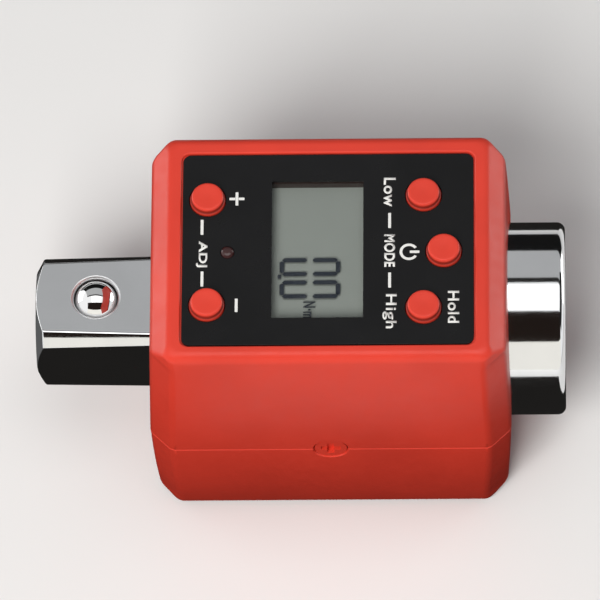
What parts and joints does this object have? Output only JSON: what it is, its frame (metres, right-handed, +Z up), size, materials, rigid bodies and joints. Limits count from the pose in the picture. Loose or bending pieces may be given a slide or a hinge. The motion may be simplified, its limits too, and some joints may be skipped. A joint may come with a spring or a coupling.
{
  "type": "digital torque adapter",
  "caption": "Square-drive torque adapter: steel gauge shaft with a male square and a square socket in a moulded housing with a display, keys and an indicator.",
  "frame": {"origin": "on the ground under the shaft axis, midway along the overall length", "axes": "+X along the shaft from the male square to the socket, +Y to the back of the housing as the display is read from the front, +Z up through the panel"},
  "size_m": [0.066, 0.0364, 0.0393],
  "materials": {
    "chrome": "bright chrome plating",
    "steel": "plain bright steel",
    "housing_red": "satin moulded red plastic",
    "key_red": "satin red plastic",
    "panel_black": "black printed film",
    "clear": "clear window",
    "lcd": "grey-green display glass",
    "nylon": "natural nylon",
    "black": "black moulded plastic",
    "seal": "black rubber",
    "board": "green circuit board",
    "light": "dark clear pink plastic",
    "brass": "plated brass",
    "lead": "red insulated wire",
    "gauge": "amber foil"
  },
  "bodies": {
    "housing": {"torque_shaft": "chrome", "detent_spring": "steel", "drive_end_bush": "nylon", "drive_end_seal": "seal", "socket_end_seal": "seal", "strain_gauges": "gauge", "gauge_leads": "lead", "upper_shell": "housing_red", "lower_shell": "housing_red", "display_overlay": "panel_black", "display_window": "clear", "lcd_panel": "lcd", "lcd_frame": "nylon", "lcd_connectors": "black", "circuit_board": "board", "main_chip": "black", "amplifier_chip": "black", "buzzer": "black", "switch_cases": "black", "light_pipe": "light", "indicator_led": "nylon", "battery_cell": "steel", "negative_contact": "brass", "positive_contact": "brass", "battery_leads": "lead", "shell_screws": "steel", "anchor_screws": "housing_red", "board_screws": "steel"},
    "ball": {"detent_ball": "chrome"},
    "plus_key": {"plus_button": "key_red", "plus_plunger": "nylon"},
    "minus_key": {"minus_button": "key_red", "minus_plunger": "nylon"},
    "low_key": {"low_button": "key_red", "low_plunger": "nylon"},
    "power_key": {"power_button": "key_red", "power_plunger": "nylon"},
    "high_key": {"high_button": "key_red", "high_plunger": "nylon"},
    "cover": {"battery_cover": "housing_red"}
  },
  "joints": [
    {"name": "detent", "type": "slide", "parent": "housing", "child": "ball", "axis": [0, 0, -1], "range_m": [0, 0.0011], "stiffness_N_per_m": 1500, "springref_m": -0.001, "deforming": ["detent_spring"]},
    {"name": "plus_press", "type": "slide", "parent": "housing", "child": "plus_key", "axis": [0, 0, -1], "range_m": [0, 0.0005], "stiffness_N_per_m": 2000, "springref_m": -0.0005},
    {"name": "minus_press", "type": "slide", "parent": "housing", "child": "minus_key", "axis": [0, 0, -1], "range_m": [0, 0.0005], "stiffness_N_per_m": 2000, "springref_m": -0.0005},
    {"name": "low_press", "type": "slide", "parent": "housing", "child": "low_key", "axis": [0, 0, -1], "range_m": [0, 0.0005], "stiffness_N_per_m": 2000, "springref_m": -0.0005},
    {"name": "power_press", "type": "slide", "parent": "housing", "child": "power_key", "axis": [0, 0, -1], "range_m": [0, 0.0005], "stiffness_N_per_m": 2000, "springref_m": -0.0005},
    {"name": "high_press", "type": "slide", "parent": "housing", "child": "high_key", "axis": [0, 0, -1], "range_m": [0, 0.0005], "stiffness_N_per_m": 2000, "springref_m": -0.0005},
    {"name": "cover_turn", "type": "hinge", "parent": "housing", "child": "cover", "pos_m": [0.00172, 0, 0.001], "axis": [0, 0, 1], "range_deg": [0, 55]}
  ]
}
